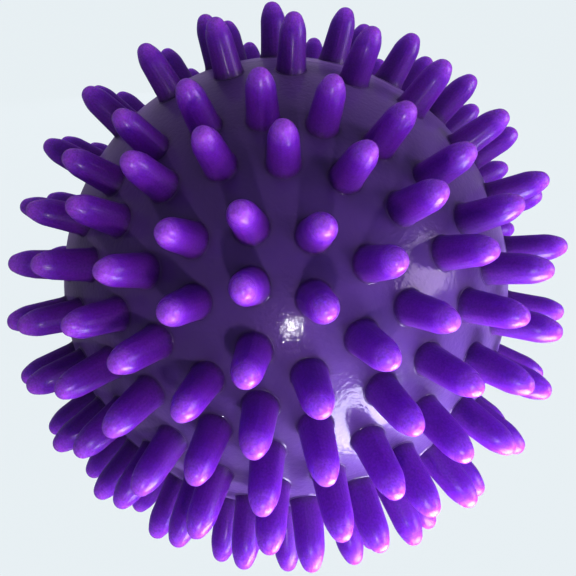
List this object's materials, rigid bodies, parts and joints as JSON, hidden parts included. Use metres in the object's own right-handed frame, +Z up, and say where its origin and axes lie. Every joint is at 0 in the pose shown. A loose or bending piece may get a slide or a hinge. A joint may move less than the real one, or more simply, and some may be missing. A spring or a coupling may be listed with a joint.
{
  "type": "massage ball",
  "caption": "Hollow soft ball covered all over in rings of blunt tapered spikes, with a pull-out plug in an air valve at one pole.",
  "frame": {"origin": "the ball's centre", "axes": "+Z up; Y is the moulding axis, with the valve at the +Y pole and a single spike at the -Y pole"},
  "size_m": [0.089, 0.0875, 0.089],
  "materials": {
    "smoky_skin": "satin, smoky and slightly translucent soft PVC",
    "violet_spikes": "semi-gloss, violet soft PVC, brighter at the tips",
    "valve_rubber": "satin",
    "plug_pvc": "semi-gloss"
  },
  "bodies": {
    "ball": {"ball_skin": "smoky_skin", "spike_front_pole": "violet_spikes", "spikes_ring_01": "violet_spikes", "spikes_ring_02": "violet_spikes", "spikes_ring_03": "violet_spikes", "spikes_ring_04": "violet_spikes", "spikes_ring_05": "violet_spikes", "spikes_ring_06": "violet_spikes", "spikes_ring_07": "violet_spikes", "spikes_ring_08": "violet_spikes", "spikes_ring_09": "violet_spikes", "spikes_ring_10": "violet_spikes", "spikes_ring_11": "violet_spikes", "valve_bush": "valve_rubber"},
    "plug": {"valve_plug": "plug_pvc"}
  },
  "joints": [
    {"name": "plug_pull", "type": "slide", "parent": "ball", "child": "plug", "axis": [0, 1, 0], "range_m": [0, 0.03]}
  ]
}
